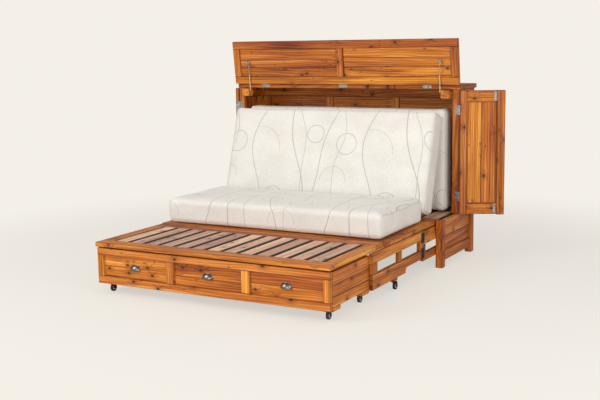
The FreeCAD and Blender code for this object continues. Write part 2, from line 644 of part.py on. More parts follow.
# ---------------------------------------------------------------- casters
places = {}
for word, side in SIDES.items():
    places[f"front_{word}"] = (side * s.caster_side, drawer_front + s.caster_front)
    places[f"rear_{word}"] = (side * s.caster_side, drawer_front + s.caster_rear)
    places[f"frame_{word}"] = (side * frame_mid, front - s.caster_frame)
top_of_caster = s.caster_tall - s.caster_gap
for word, (x, y) in places.items():
    crown_low = s.wheel_radius * 2 + 1
    crown = Part.makeCylinder(s.crown - 1.2, top_of_caster - crown_low, Vector(x, y, crown_low))
    inside = s.wheel_wide / 2 + 1
    shapes = [crown]
    bridge = Part.makeBox(2 * (inside + s.fork_wall), s.trail + 16, 4,
                          Vector(x - inside - s.fork_wall, y - 10, crown_low))
    shapes.append(bridge)
    for leg in (-1, 1):
        low = x + leg * inside if leg > 0 else x - inside - s.fork_wall
        plate = Part.makeBox(s.fork_wall, 14, crown_low + 2 - s.wheel_radius + 5,
                             Vector(low, y + s.trail - 7, s.wheel_radius - 5))
        shapes.append(plate)
    axle = Part.makeCylinder(s.axle_radius, 2 * (inside + s.fork_wall),
                             Vector(x - inside - s.fork_wall, y + s.trail, s.wheel_radius), X)
    shapes.append(axle)
    node(f"caster_fork_{word}", made(shapes[0].fuse(shapes[1:])))
    hub_at = Vector(x - s.wheel_wide / 2, y + s.trail, s.wheel_radius)
    tyre = Part.makeCylinder(s.wheel_radius, s.wheel_wide, hub_at, X)
    tyre = tyre.makeFillet(2.5, tyre.Edges[:1] + tyre.Edges[2:])
    hub_bore = Part.makeCylinder(s.axle_radius + s.pin_fit, s.wheel_wide, hub_at, X)
    node(f"caster_wheel_{word}", made(tyre.cut(hub_bore)))

# ---------------------------------------------------------------- folding mattress, three pads
pad_z = s.base_height + s.pad_lift


def pad(length, tall, at):
    """A soft pad as a plain block with rounded edges."""
    block = board(("pad_width", length, tall), at)
    doc.recompute()
    item = doc.addObject("Part::Fillet", "pad")
    item.Base = block
    item.Edges = [(i, s.pad_round, s.pad_round) for i in range(1, 13)]
    return item


pad_half = s.pad_width / 2
node("mattress_seat", pad("seat_length", "pad_thick", (-pad_half, front - s.seat_from, pad_z)))
foot = Vector(0, front + s.back_foot_at, s.base_height + s.back_lift)
back_pad = pad("pad_thick", "back_length", (-pad_half, foot.y - s.pad_thick, foot.z))
node("mattress_back", turned(back_pad, foot, X, -s.back_lean))
node("mattress_rear", pad("pad_thick", "rear_pad_tall", (-pad_half, front + s.rear_pad_at, pad_z)))

# ---------------------------------------------------------------- checks and files
doc.recompute()
for item in doc.Objects:
    if "Invalid" in item.State or "Error" in item.State:
        raise RuntimeError(f"{item.Name} failed: {item.State}")
os.makedirs("parts", exist_ok=True)
for name, item in NODES.items():
    shape = item.Shape
    if shape.isNull() or not shape.isValid() or not shape.Solids:
        raise RuntimeError(f"{name} has no valid solid")
    shape.exportStep(f"parts/{name}.step")
    box = shape.BoundBox
    print(f"{name:28s} {len(shape.Solids):3d} x {box.XMin:8.1f} {box.XMax:8.1f}"
          f"  y {box.YMin:8.1f} {box.YMax:8.1f}  z {box.ZMin:7.1f} {box.ZMax:7.1f}")
print(len(NODES), "nodes; lid stay", stay_way, stay_span, "lid axis", lid_axis)
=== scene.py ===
import json
import math
import random

import bmesh
import bpy
from mathutils import Matrix, Vector, noise as field_noise


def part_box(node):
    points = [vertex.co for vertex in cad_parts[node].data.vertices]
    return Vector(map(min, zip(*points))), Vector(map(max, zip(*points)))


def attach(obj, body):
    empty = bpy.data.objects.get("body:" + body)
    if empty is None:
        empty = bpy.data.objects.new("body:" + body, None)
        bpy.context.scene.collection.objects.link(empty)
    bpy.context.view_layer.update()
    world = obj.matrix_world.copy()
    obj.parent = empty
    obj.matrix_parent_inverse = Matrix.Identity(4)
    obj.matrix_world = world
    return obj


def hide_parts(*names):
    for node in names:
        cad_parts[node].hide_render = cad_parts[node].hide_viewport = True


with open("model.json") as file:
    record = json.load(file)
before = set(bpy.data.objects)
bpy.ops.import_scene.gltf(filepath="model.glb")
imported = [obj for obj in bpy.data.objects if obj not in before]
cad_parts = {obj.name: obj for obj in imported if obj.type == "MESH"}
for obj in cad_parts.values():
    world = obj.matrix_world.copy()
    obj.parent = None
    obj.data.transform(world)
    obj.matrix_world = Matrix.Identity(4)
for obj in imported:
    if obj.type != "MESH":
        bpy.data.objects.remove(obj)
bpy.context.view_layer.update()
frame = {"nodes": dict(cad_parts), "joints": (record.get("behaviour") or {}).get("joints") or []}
draw = random.Random(11)
joints = {joint["name"]: joint for joint in frame["joints"]}
AXES = "xyz"
SIDES = {"left": -1, "right": 1}
CASTER_ENDS = ("front", "rear", "frame")

# Sizes that the frame's boxes don't give, in metres: first the case, then what folds out of it.
EASE, BOARD_EASE, POST_EASE, SLAT_EASE, PANEL_EASE = 0.0022, 0.003, 0.004, 0.004, 0.0008
POST, POST_DEEP, PANEL = 0.046, 0.050, 0.010
BASE_SIDE, BASE_LOW_RAIL, BASE_TOP_RAIL = 0.022, 0.060, 0.040
UPPER_SIDE, BACK_STILE, BACK_RAIL = 0.022, 0.060, 0.070
MOULDING, MOULDING_PROUD = 0.007, 0.0035
PLANKS, PLANK_GAP = 12, 0.003
STAY_BLOCK_INNER = 0.708
TOP_RAIL, TOP_THICK, MID_GAP = 0.050, 0.028, 0.003
LID_LENGTH, LID_CLEAR = 0.292, 0.0015
WING_THICK, WING_STILE, WING_RAIL, WING_EDGE, CORNER_POST = 0.022, 0.042, 0.068, 0.006, 0.048
WING_GAP, WING_PANEL_IN = 0.004, 0.005
DRAWER_STILE, DRAWER_MULLION, DRAWER_RAILS = 0.042, 0.050, (0.043, 0.040)
DRAWER_WALL, DRAWER_FLOOR, CASTER_BLOCK = 0.018, 0.008, 0.092
SLAT_COUNT, SLAT_GAP, SLAT_THICK = 13, 0.013, 0.020
DECK_FRONT_RAILS, DECK_BACK_RAIL, DECK_NOSING = {"deck_front": 0.079, "deck_mid": 0.100}, 0.100, 0.0125


# ---------------------------------------------------------------- materials
class Wire:
    """A number inside a material, with ordinary arithmetic."""

    def __init__(self, tree, socket):
        self.tree = tree
        self.socket = socket

    def math(self, kind, *others):
        node = self.tree.nodes.new("ShaderNodeMath")
        node.operation = kind
        for slot, value in zip(node.inputs, (self, *others)):
            if isinstance(value, Wire):
                self.tree.links.new(value.socket, slot)
            else:
                slot.default_value = value
        return Wire(self.tree, node.outputs[0])

    def __add__(self, other):
        return self.math("ADD", other)

    def __sub__(self, other):
        return self.math("SUBTRACT", other)

    def __mul__(self, other):
        return self.math("MULTIPLY", other)

    def between(self, low, high):
        """0 at low, 1 at high, smooth between them."""
        node = self.tree.nodes.new("ShaderNodeMapRange")
        node.interpolation_type = "SMOOTHSTEP"
        node.inputs["From Min"].default_value = low
        node.inputs["From Max"].default_value = high
        self.tree.links.new(self.socket, node.inputs["Value"])
        return Wire(self.tree, node.outputs["Result"])

    def into(self, socket):
        self.tree.links.new(self.socket, socket)


def length(a, b):
    """The length of a step of a along one axis and b along another."""
    return (a * a + b * b).math("SQRT")


def least(wires):
    best = wires[0]
    for wire in wires[1:]:
        best = best.math("MINIMUM", wire)
    return best


def material(name, **sockets):
    made = bpy.data.materials.new(name)
    made.use_nodes = True
    shader = made.node_tree.nodes["Principled BSDF"]
    for socket, value in sockets.items():
        shader.inputs[socket.replace("_", " ")].default_value = value
    return made, made.node_tree, shader


def attribute(tree, name, output="Vector"):
    node = tree.nodes.new("ShaderNodeAttribute")
    node.attribute_name = name
    return node.outputs[output]


def scaled(tree, vector, scale):
    node = tree.nodes.new("ShaderNodeMapping")
    node.inputs["Scale"].default_value = scale
    tree.links.new(vector, node.inputs["Vector"])
    return node.outputs["Vector"]


def noise(tree, vector, scale, detail=3.0, rough=0.5, warp=0.0):
    node = tree.nodes.new("ShaderNodeTexNoise")
    node.inputs["Scale"].default_value = 1.0
    node.inputs["Detail"].default_value = detail
    node.inputs["Roughness"].default_value = rough
    node.inputs["Distortion"].default_value = warp
    tree.links.new(scaled(tree, vector, scale), node.inputs["Vector"])
    return Wire(tree, node.outputs["Fac"])


def parts_of(tree, vector):
    node = tree.nodes.new("ShaderNodeSeparateXYZ")
    tree.links.new(vector, node.inputs[0])
    return [Wire(tree, out) for out in node.outputs]


def ramp(tree, wire, stops):
    node = tree.nodes.new("ShaderNodeValToRGB")
    wire.into(node.inputs["Fac"])
    marks = node.color_ramp.elements
    while len(marks) < len(stops):
        marks.new(0.5)
    for mark, (place, colour) in zip(marks, stops):
        mark.position = place
        mark.color = (*colour, 1)
    return node.outputs["Color"]


def mixed(tree, wire, first, second):
    """One colour turning into another as a number goes from 0 to 1."""
    node = tree.nodes.new("ShaderNodeMix")
    node.data_type = "RGBA"
    wire.into(node.inputs["Factor"])
    for slot, value in ((node.inputs[6], first), (node.inputs[7], second)):
        if isinstance(value, tuple):
            slot.default_value = (*value, 1)
        else:
            tree.links.new(value, slot)
    return node.outputs[2]


def bumped(tree, shader, wire, distance, strength):
    node = tree.nodes.new("ShaderNodeBump")
    node.inputs["Distance"].default_value = distance
    node.inputs["Strength"].default_value = strength
    wire.into(node.inputs["Height"])
    tree.links.new(node.outputs["Normal"], shader.inputs["Normal"])


# The wood's figure. Knots: cells per metre along and across, share of cells with one, reach of a core.
KNOTS, PIN_KNOTS = ((7.0, 11.0), 0.36, 0.11), ((14.0, 22.0), 0.16, 0.11)
RING_PITCH, RING_TILT, RING_DRIFT, KNOT_SWING, PIN_SWING = 0.0150, 0.6, 0.085, 0.020, 0.006
BAND_SHARE, RING_SHARE, STREAK_SHARE, FIBRE_SHARE, SHADE_DROP = 0.66, 0.085, 0.30, 0.14, 0.085
HALO_DARK, KNOT_DARK, PORE_DARK = 0.42, 0.9, 0.40
# Painted shade near the edges of each board's face, partly glaze gathered in the joints: where it starts
# and where it is full. SIDE_SHADOW: the same for the painted shadow along a slat's long sides, in the gaps
# between slats.
EDGE_GLAZE_AND_SHADE, SIDE_SHADOW = (0.0040, 0.0008), (0.0120, 0.0080)


def knots(tree, grain, cells, share, core):
    """Knots scattered over a board's face: how much each point is inside one, and how near."""
    node = tree.nodes.new("ShaderNodeTexVoronoi")
    node.voronoi_dimensions = "2D"
    node.inputs["Scale"].default_value = 1.0
    tree.links.new(scaled(tree, grain, (*cells, 0.0)), node.inputs["Vector"])
    chosen = parts_of(tree, node.outputs["Color"])[0].math("LESS_THAN", share)
    reach = Wire(tree, node.outputs["Distance"])
    return reach.between(core, core * 0.45) * chosen, reach.between(core * 3.6, core * 0.6) * chosen


def edge_distance(tree):
    """How far a point of a board's face is from the nearest edge of that face, and from its long sides."""
    local = parts_of(tree, attribute(tree, "local"))
    size = parts_of(tree, attribute(tree, "half"))
    a, b, c = [reach - at.math("ABSOLUTE") for at, reach in zip(local, size)]
    second = a.math("MINIMUM", b).math("MAXIMUM", a.math("MAXIMUM", b).math("MINIMUM", c))
    return second, b


def board_tone(tree, colour):
    """Each board a little lighter or darker, redder or yellower than its neighbours."""
    node = tree.nodes.new("ShaderNodeHueSaturation")
    tree.links.new(colour, node.inputs["Color"])
    board = Wire(tree, attribute(tree, "tone", "Fac"))
    (board * 0.40 + 0.80).into(node.inputs["Value"])
    (board * 0.018 + 0.491).into(node.inputs["Hue"])
    return node.outputs["Color"]


def wood(name, stops, knot, shine, dark_sides=0.0):
    """Oiled rustic boards: heart and sap bands, growth lines that swing round knots, fine fibres, and
    painted shade along the edges of each face.
    """
    made, tree, shader = material(name, Coat_Weight=0.10, Coat_Roughness=0.25, Specular_IOR_Level=0.32)
    grain = attribute(tree, "grain")
    _, across, through = parts_of(tree, grain)
    core, halo = knots(tree, grain, *KNOTS)
    pin, pin_halo = knots(tree, grain, *PIN_KNOTS)
    drift = noise(tree, grain, (1.1, 5.5, 5.5), detail=2.0)
    lines = across + through * RING_TILT + drift * RING_DRIFT + halo * KNOT_SWING + pin_halo * PIN_SWING
    rings = (lines * (2 * math.pi / RING_PITCH)).math("SINE") * 0.5 + 0.5
    bands = noise(tree, grain, (0.9, 13.0, 13.0), detail=4.0, rough=0.62, warp=0.7)
    streaks = noise(tree, grain, (2.6, 62.0, 62.0), detail=3.0, rough=0.6)
    fibre = noise(tree, grain, (5.0, 190.0, 190.0), detail=4.0, rough=0.65)
    shade = bands * BAND_SHARE + rings * RING_SHARE + streaks * STREAK_SHARE
    colour = ramp(tree, shade + fibre * FIBRE_SHARE - SHADE_DROP, stops)
    colour = mixed(tree, halo * HALO_DARK, colour, stops[0][1])
    colour = mixed(tree, core.math("MAXIMUM", pin) * KNOT_DARK, colour, knot)
    pores = fibre.between(0.60, 0.74) * bands.between(0.62, 0.35)
    colour = board_tone(tree, mixed(tree, pores * PORE_DARK, colour, knot))
    edge, side = edge_distance(tree)
    # Darker near every edge of a board's face, towards the knot colour: painted shade in the joints and
    # recesses between boards, partly glaze gathered there. With dark_sides, also painted shadow along the
    # long sides, where the gaps between slats lie in shade.
    glaze_and_edge_shade = edge.between(*EDGE_GLAZE_AND_SHADE) * (drift.between(0.3, 0.7) * 0.30 + 0.55)
    if dark_sides:
        glaze_and_edge_shade = glaze_and_edge_shade.math("MAXIMUM", side.between(*SIDE_SHADOW) * dark_sides)
    tree.links.new(mixed(tree, glaze_and_edge_shade, colour, knot), shader.inputs["Base Color"])
    (fibre * 0.25 + shine).into(shader.inputs["Roughness"])
    hair = noise(tree, grain, (14.0, 900.0, 900.0), detail=2.0)
    bumped(tree, shader, hair * 0.4 + fibre * 0.6 - core * 0.8, distance=0.0006, strength=0.55)
    return made


def metal(name, colour, rough, blotch, grain=60.0, bump=0.0002, metallic=1.0):
    """Metal or hard plastic with faint blotches, fine scratches and an uneven shine."""
    made, tree, shader = material(name, Metallic=metallic)
    coord = tree.nodes.new("ShaderNodeTexCoord").outputs["Object"]
    cloud = noise(tree, coord, (grain, grain, grain), detail=5.0, rough=0.6)
    scratch = noise(tree, coord, (grain * 3, grain * 3, grain * 22), detail=2.0)
    darker = tuple(part * (1 - blotch) for part in colour)
    lighter = tuple(min(1.0, part * (1 + blotch)) for part in colour)
    tree.links.new(ramp(tree, cloud, [(0.35, darker), (0.65, lighter)]), shader.inputs["Base Color"])
    (cloud * 0.16 + scratch * 0.08 + (rough - 0.12)).into(shader.inputs["Roughness"])
    bumped(tree, shader, scratch, distance=bump, strength=0.5)
    return made


# The ticking's figure, in metres. Stripes: place, swing, waves per metre, start and half width.
STRIPES = [(0.07, 0.060, 4.6, 0.4, 0.0024), (0.30, 0.085, 3.9, 2.0, 0.0027),
           (0.36, 0.040, 6.2, 2.6, 0.0015), (0.52, 0.075, 4.2, 4.4, 0.0024),
           (0.64, 0.030, 7.4, 1.1, 0.0014)]
# Hoops and beaded arcs: place across and down, and radius.
HOOPS = [(0.19, 0.22, 0.078), (0.19, 0.21, 0.056), (0.69, 0.60, 0.070), (0.46, 0.66, 0.060)]
ARCS = [(0.45, 0.10, 0.120), (0.05, 0.55, 0.150), (0.62, 0.36, 0.090)]
REPEAT, BEAD_PITCH = (0.82, 0.74), 0.0024
STRIPE_LINE, HOOP_LINE, BEAD_LINE = (0.0011, -0.0004), (0.0034, 0.0018), (0.0036, 0.0020)


def ticking_figure(tree, across, down):
    """The cloth's figure: 1 on its lines, 0 between them and on the ends of a pad."""
    u = across.math("WRAP", REPEAT[0], 0.0)
    v = down.math("WRAP", REPEAT[1], 0.0)
    stripes = []
    for place, swing, waves, start, wide in STRIPES:
        centre = (down * waves + start).math("SINE") * swing + place
        centre = centre + (down * (waves * 2.3) + start).math("COSINE") * (swing * 0.35)
        away = (across - centre).math("WRAP", REPEAT[0] / 2, -REPEAT[0] / 2)
        stripes.append(away.math("ABSOLUTE") - wide)
    hoops = [(length(u - x, v - y) - radius).math("ABSOLUTE") for x, y, radius in HOOPS]
    beads = []
    for x, y, radius in ARCS:
        across_arc, down_arc = u - x, v - y
        turn = down_arc.math("ARCTAN2", across_arc) * (radius / BEAD_PITCH)
        gate = turn.math("SINE").between(0.30, -0.2) * 0.01 + down_arc.between(0.0, -0.01) * 0.01
        beads.append((length(across_arc, down_arc) - radius).math("ABSOLUTE") + gate)
    mark = least(stripes).between(*STRIPE_LINE)
    faint = least(hoops).between(*HOOP_LINE) * 0.8
    dots = least(beads).between(*BEAD_LINE)
    end = Wire(tree, attribute(tree, "end", "Fac"))
    return mark.math("MAXIMUM", faint).math("MAXIMUM", dots) * (end * -1.0 + 1.0)


def ticking_fabric(name, plain=False):
    """Off-white knit, plain or with a thin grey figure of stripes, hoops and beaded arcs."""
    made, tree, shader = material(name, Roughness=0.92, Sheen_Weight=0.25, Specular_IOR_Level=0.2)
    cloth = attribute(tree, "cloth")
    across, down, _ = parts_of(tree, cloth)
    slub = noise(tree, cloth, (55.0, 460.0, 200.0), detail=3.0, rough=0.6)
    knit = noise(tree, cloth, (620.0, 620.0, 620.0), detail=1.0)
    patch = noise(tree, cloth, (6.0, 6.0, 6.0), detail=2.0)
    tint = slub * 0.5 + knit * 0.25 + patch * 0.25
    colour = ramp(tree, tint, [(0.34, (0.63, 0.60, 0.55)), (0.60, (0.82, 0.79, 0.735))])
    height = slub * 0.35 + knit * 0.65
    if plain:
        colour = mixed(tree, patch * 0.2 + 0.35, colour, (0.42, 0.40, 0.37))
    else:
        figure = ticking_figure(tree, across, down)
        colour = mixed(tree, figure * 0.62, colour, (0.30, 0.28, 0.265))
        height = height - figure * 0.8
    tree.links.new(colour, shader.inputs["Base Color"])
    bumped(tree, shader, height, distance=0.0009, strength=0.5)
    return made


OILED = wood("oiled_wood", [(0.35, (0.150, 0.028, 0.002)), (0.44, (0.350, 0.082, 0.006)),
                            (0.54, (0.545, 0.160, 0.012)), (0.67, (0.760, 0.318, 0.064))],
             knot=(0.040, 0.009, 0.002), shine=0.38)
# The slats' paler, pinker wood: partly their own tone, partly painted sheen of the sky on their tops.
# dark_sides darkens their long sides with painted shadow, as in the gaps between slats.
SLATS_AND_SHEEN = wood("slat_wood_and_sheen", [(0.34, (0.340, 0.165, 0.100)), (0.46, (0.540, 0.300, 0.195)),
                           (0.58, (0.700, 0.445, 0.315)), (0.72, (0.830, 0.590, 0.440))],
             knot=(0.030, 0.009, 0.004), shine=0.42, dark_sides=0.94)
# A darker copy of the oiled wood for the inside of the case: painted shade where little light reaches in.
SHADED_INSIDE = wood("shaded_inside_wood", [(0.30, (0.070, 0.016, 0.005)), (0.46, (0.190, 0.050, 0.012)),
                              (0.62, (0.330, 0.105, 0.026)), (0.78, (0.480, 0.180, 0.050))],
              knot=(0.035, 0.010, 0.004), shine=0.36)
CHROME = metal("bright_chrome", (0.42, 0.41, 0.395), rough=0.27, blotch=0.25)
BLACK = metal("black_metal", (0.028, 0.027, 0.026), rough=0.42, blotch=0.35, metallic=0.6)
STEEL = metal("bare_steel", (0.52, 0.51, 0.50), rough=0.34, blotch=0.12)
BRASS = metal("aged_brass", (0.68, 0.50, 0.27), rough=0.32, blotch=0.22)
PEWTER = metal("aged_pewter", (0.20, 0.180, 0.155), rough=0.30, blotch=0.55, grain=110.0, bump=0.0005)
RUBBER = metal("wheel_rubber", (0.030, 0.030, 0.031), rough=0.72, blotch=0.30, metallic=0.0)
HUB = metal("wheel_hub", (0.46, 0.46, 0.47), rough=0.45, blotch=0.15, metallic=0.0)
TICKING = ticking_fabric("ticking")
TAPE = ticking_fabric("ticking_tape", plain=True)

# ---------------------------------------------------------------- boards
GRAIN_SHIFT = 9


def cuboid(low, high):
    """A plain block from one corner to the other."""
    shape = bmesh.new()
    bmesh.ops.create_cube(shape, size=1.0)
    for vert in shape.verts:
        vert.co = Vector([low[i] + (vert.co[i] + 0.5) * (high[i] - low[i]) for i in range(3)])
    return shape


def eased(shape, edges, size):
    bmesh.ops.bevel(shape, geom=edges, offset=size, segments=2, profile=0.6, affect="EDGES")


def meshed(shape, name):
    """Keep a shape as a mesh."""
    mesh = bpy.data.meshes.new(name)
    shape.to_mesh(mesh)
    shape.free()
    return mesh


def placed(mesh, name, body, slot, look, *nodes, crisp=False):
    """Put a mesh in the scene as a piece that rides on a body and stands for its nodes."""
    mesh.materials.append(look)
    mesh.polygons.foreach_set("use_smooth", [True] * len(mesh.polygons))
    piece = bpy.data.objects.new(name, mesh)
    bpy.context.collection.objects.link(piece)
    if crisp:
        piece.modifiers.new("even_shading", "WEIGHTED_NORMAL")
    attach(piece, body)
    if nodes:
        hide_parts(*nodes)
    return piece


class Joinery:
    """One piece made of boards, each with eased edges and a grain of its own."""

    def __init__(self):
        self.points = []
        self.faces = []
        self.grain = []
        self.local = []
        self.half = []
        self.tone = []

    def take(self, shape, along, swing):
        """Add a shape as a board with its grain along an axis, turned by a swing if there is one."""
        start = len(self.points)
        shift = Vector([draw.uniform(0, GRAIN_SHIFT) for _ in range(3)])
        tone = draw.random()
        spans = [(min(v.co[i] for v in shape.verts), max(v.co[i] for v in shape.verts)) for i in range(3)]
        run = AXES.index(along)
        order = [run] + sorted({0, 1, 2} - {run}, key=lambda i: spans[i][0] - spans[i][1])
        centre = Vector([sum(spans[i]) / 2 for i in order])
        half_size = Vector([(spans[i][1] - spans[i][0]) / 2 for i in order])
        for vert in shape.verts:
            place = Vector([vert.co[axis] for axis in order])
            self.grain.append(place + shift)
            self.local.append(place - centre)
            self.half.append(half_size)
            self.tone.append(tone)
            self.points.append(swing @ vert.co if swing else vert.co.copy())
        shape.verts.index_update()
        self.faces += [[start + vert.index for vert in face.verts] for face in shape.faces]
        shape.free()

    def board(self, low, high, along, swing=None, ease=EASE):
        shape = cuboid(low, high)
        thin = min(high[i] - low[i] for i in range(3))
        eased(shape, shape.edges[:], min(ease, thin * 0.3))
        self.take(shape, along, swing)

    def plank(self, outline, low_x, high_x):
        """A board sawn to an outline in Y and Z, from low_x to high_x."""
        shape = bmesh.new()
        face = shape.faces.new([shape.verts.new((low_x, y, z)) for y, z in outline])
        pushed = bmesh.ops.extrude_face_region(shape, geom=[face])
        for item in pushed["geom"]:
            if isinstance(item, bmesh.types.BMVert):
                item.co.x = high_x
        bmesh.ops.recalc_face_normals(shape, faces=shape.faces[:])
        rims = [edge for edge in shape.edges if abs(edge.verts[0].co.x - edge.verts[1].co.x) < 1e-6]
        eased(shape, rims, EASE)
        self.take(shape, "y", None)

    def done(self, name, body, slot, look, *nodes):
        mesh = bpy.data.meshes.new(name)
        mesh.from_pydata(self.points, [], self.faces)
        for kind in ("grain", "local", "half"):
            values = [part for point in getattr(self, kind) for part in point]
            mesh.attributes.new(kind, "FLOAT_VECTOR", "POINT").data.foreach_set("vector", values)
        mesh.attributes.new("tone", "FLOAT", "POINT").data.foreach_set("value", self.tone)
        return placed(mesh, name, body, slot, look, *nodes, crisp=True)


def corners(axes):
    """The low and the high corner of a block, from its spans by axis number."""
    return [axes[i][0] for i in range(3)], [axes[i][1] for i in range(3)]


def mirrored(side, a, b):
    """The span between two distances from the middle, on the left or the right side."""
    return sorted((side * a, side * b))


def framed(work, low, high, u, v, stiles, rails, mullions=0, mullion=0.0, through="rails", swing=None):
    """The rails and stiles of a frame in the plane of axes u and v. Gives its windows' spans."""
    w = 3 - u - v
    thick = (low[w], high[w])
    inner_u = (low[u] + stiles[0], high[u] - stiles[1])
    inner_v = (low[v] + rails[0], high[v] - rails[1])
    rail_u = (low[u], high[u]) if through == "rails" else inner_u
    stile_v = inner_v if through == "rails" else (low[v], high[v])
    for span in ((low[v], inner_v[0]), (inner_v[1], high[v])):
        work.board(*corners({u: rail_u, v: span, w: thick}), AXES[u], swing)
    for span in ((low[u], inner_u[0]), (inner_u[1], high[u])):
        work.board(*corners({u: span, v: stile_v, w: thick}), AXES[v], swing)
    wide = (inner_u[1] - inner_u[0] - mullions * mullion) / (mullions + 1)
    windows = []
    for i in range(mullions + 1):
        start = inner_u[0] + i * (wide + mullion)
        windows.append({u: (start, start + wide), v: inner_v})
        if i < mullions:
            bar = (start + wide, start + wide + mullion)
            work.board(*corners({u: bar, v: inner_v, w: thick}), AXES[v], swing)
    return windows


def filled(work, window, w, depth, run, count, swing=None):
    """A window's panel, glued up from boards that run along one of its axes."""
    u, v = window
    side = v if run == u else u
    start, end = window[side]
    shares = [draw.uniform(0.8, 1.25) for _ in range(count)]
    at = start
    for share in shares:
        step = (end - start) * share / sum(shares)
        axes = {run: window[run], side: (at, at + step), w: depth}
        work.board(*corners(axes), AXES[run], swing, ease=PANEL_EASE)
        at += step


def moulded(work, window, w, face, proud, swing=None):
    """A thin moulding round the inside of a window, lying on its panel."""
    u, v = window
    for side, other in ((u, v), (v, u)):
        low, high = window[side]
        for span in ((low, low + MOULDING), (high - MOULDING, high)):
            axes = {side: span, other: window[other], w: sorted((face, face + proud))}
            work.board(*corners(axes), AXES[other], swing, ease=abs(proud) * 0.45)


def turning(joint, degrees):
    """The turn of a hinge by so many degrees from rest."""
    data = joints[joint]
    place = Matrix.Translation(Vector(data["pos_m"]))
    return place @ Matrix.Rotation(math.radians(degrees), 4, Vector(data["axis"])) @ place.inverted()


# ---------------------------------------------------------------- case
case_low, case_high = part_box("base_posts")
front, rear, half = case_low[1], case_high[1], case_high[0]
base_top = case_high[2]
inner = half - POST
mid_low, mid_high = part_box("upper_mid_posts")
mid_line, case_top = mid_low[1], mid_high[2]

work = Joinery()
for side in SIDES.values():
    x = mirrored(side, inner, half)
    for y in (front, rear - POST_DEEP):
        work.board((x[0], y, 0), (x[1], y + POST_DEEP, base_top), "z", ease=POST_EASE)
work.board((-POST / 2, rear - POST_DEEP, 0), (POST / 2, rear, base_top - SLAT_THICK), "z", ease=POST_EASE)
work.done("base_legs", "cabinet", "oiled_wood", OILED, "base_posts")

low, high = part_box("base_sides")
work = Joinery()
for side in SIDES.values():
    inside = high[0] - BASE_SIDE
    x = mirrored(side, inside, high[0])
    y = (low[1], high[1])
    window = {1: y, 2: (low[2] + BASE_LOW_RAIL, base_top - BASE_TOP_RAIL)}
    work.board((x[0], y[0], low[2]), (x[1], y[1], window[2][0]), "y")
    work.board((x[0], y[0], window[2][1]), (x[1], y[1], base_top), "y")
    filled(work, window, 0, mirrored(side, inside, inside + PANEL), 1, 2)
work.done("base_side_boards", "cabinet", "oiled_wood", OILED, "base_sides")

low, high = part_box("base_back_panel")
work = Joinery()
for x in ((low[0], -POST / 2), (POST / 2, high[0])):
    filled(work, {0: x, 2: (low[2], high[2])}, 1, (low[1], high[1]), 0, 2)
work.done("base_back_boards", "cabinet", "panel_wood", SHADED_INSIDE, "base_back_panel")

low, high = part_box("rear_deck_planks")
work = Joinery()
pitch = (high[0] - low[0] + PLANK_GAP) / PLANKS
for i in range(PLANKS):
    x = low[0] + i * pitch
    work.board((x, low[1], low[2]), (x + pitch - PLANK_GAP, high[1], high[2]), "y", ease=BOARD_EASE)
work.done("rear_deck_boards", "cabinet", "inner_wood", SLATS_AND_SHEEN, "rear_deck_planks")

work = Joinery()
for side in SIDES.values():
    x = mirrored(side, inner, half)
    work.board((x[0], mid_low[1], mid_low[2]), (x[1], mid_high[1], mid_high[2]), "z", ease=BOARD_EASE)
work.done("mid_posts", "cabinet", "oiled_wood", OILED, "upper_mid_posts")

low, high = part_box("upper_side_frames")
panel_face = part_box("upper_side_panels")[1][0]
work = Joinery()
panels = Joinery()
for side in SIDES.values():
    x = mirrored(side, high[0] - UPPER_SIDE, high[0])
    windows = framed(work, (x[0], low[1], low[2]), (x[1], high[1], high[2]), 1, 2,
                     (BACK_STILE, BACK_STILE), (BACK_RAIL, BACK_RAIL), through="stiles")
    filled(panels, windows[0], 0, mirrored(side, high[0] - UPPER_SIDE, panel_face), 2, 2)
    moulded(panels, windows[0], 0, side * panel_face, side * MOULDING_PROUD)
work.done("upper_side_stiles", "cabinet", "oiled_wood", OILED, "upper_side_frames")
panels.done("upper_side_fields", "cabinet", "panel_wood", OILED, "upper_side_panels")

low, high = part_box("back_frame")
work = Joinery()
panels = Joinery()
windows = framed(work, low, high, 0, 2, (BACK_STILE, BACK_STILE), (BACK_RAIL, BACK_RAIL), 2, BACK_STILE)
for window in windows:
    filled(panels, window, 1, (high[1] - PANEL, high[1]), 0, 4)
work.done("back_rails", "cabinet", "oiled_wood", OILED, "back_frame")
panels.done("back_fields", "cabinet", "panel_wood", OILED, "back_panels")

low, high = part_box("stay_blocks")
work = Joinery()
for side in SIDES.values():
    x = mirrored(side, STAY_BLOCK_INNER, high[0])
    work.board((x[0], low[1], low[2]), (x[1], high[1], high[2] - LID_CLEAR), "y", ease=BOARD_EASE)
work.done("stay_mount_blocks", "cabinet", "oiled_wood", OILED, "stay_blocks")


# ---------------------------------------------------------------- top and lid
def leaf(work, panels, low, high, swing=None):
    """A framed leaf of the top with two panels set in the middle of its thickness."""
    windows = framed(work, low, high, 0, 1, (TOP_RAIL, TOP_RAIL), (TOP_RAIL, TOP_RAIL), 1, TOP_RAIL,
                     swing=swing)
    middle = low[2] + (TOP_THICK - PANEL) / 2
    for window in windows:
        filled(panels, window, 2, (middle, middle + PANEL), 0, 3, swing)


low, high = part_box("fixed_top")
work = Joinery()
leaf(work, work, low, high)
work.done("fixed_top_boards", "cabinet", "oiled_wood", OILED, "fixed_top")

lid_back = mid_line - MID_GAP / 2
work = Joinery()
panels = Joinery()
leaf(work, panels, (low[0], lid_back - LID_LENGTH, low[2]), (high[0], lid_back, high[2]),
     turning("lid_hinge", -joints["lid_hinge"]["range_deg"][1]))
work.done("lid_rails", "lid", "oiled_wood", OILED, "lid_frame")
panels.done("lid_fields", "lid", "panel_wood", OILED, "lid_panels")


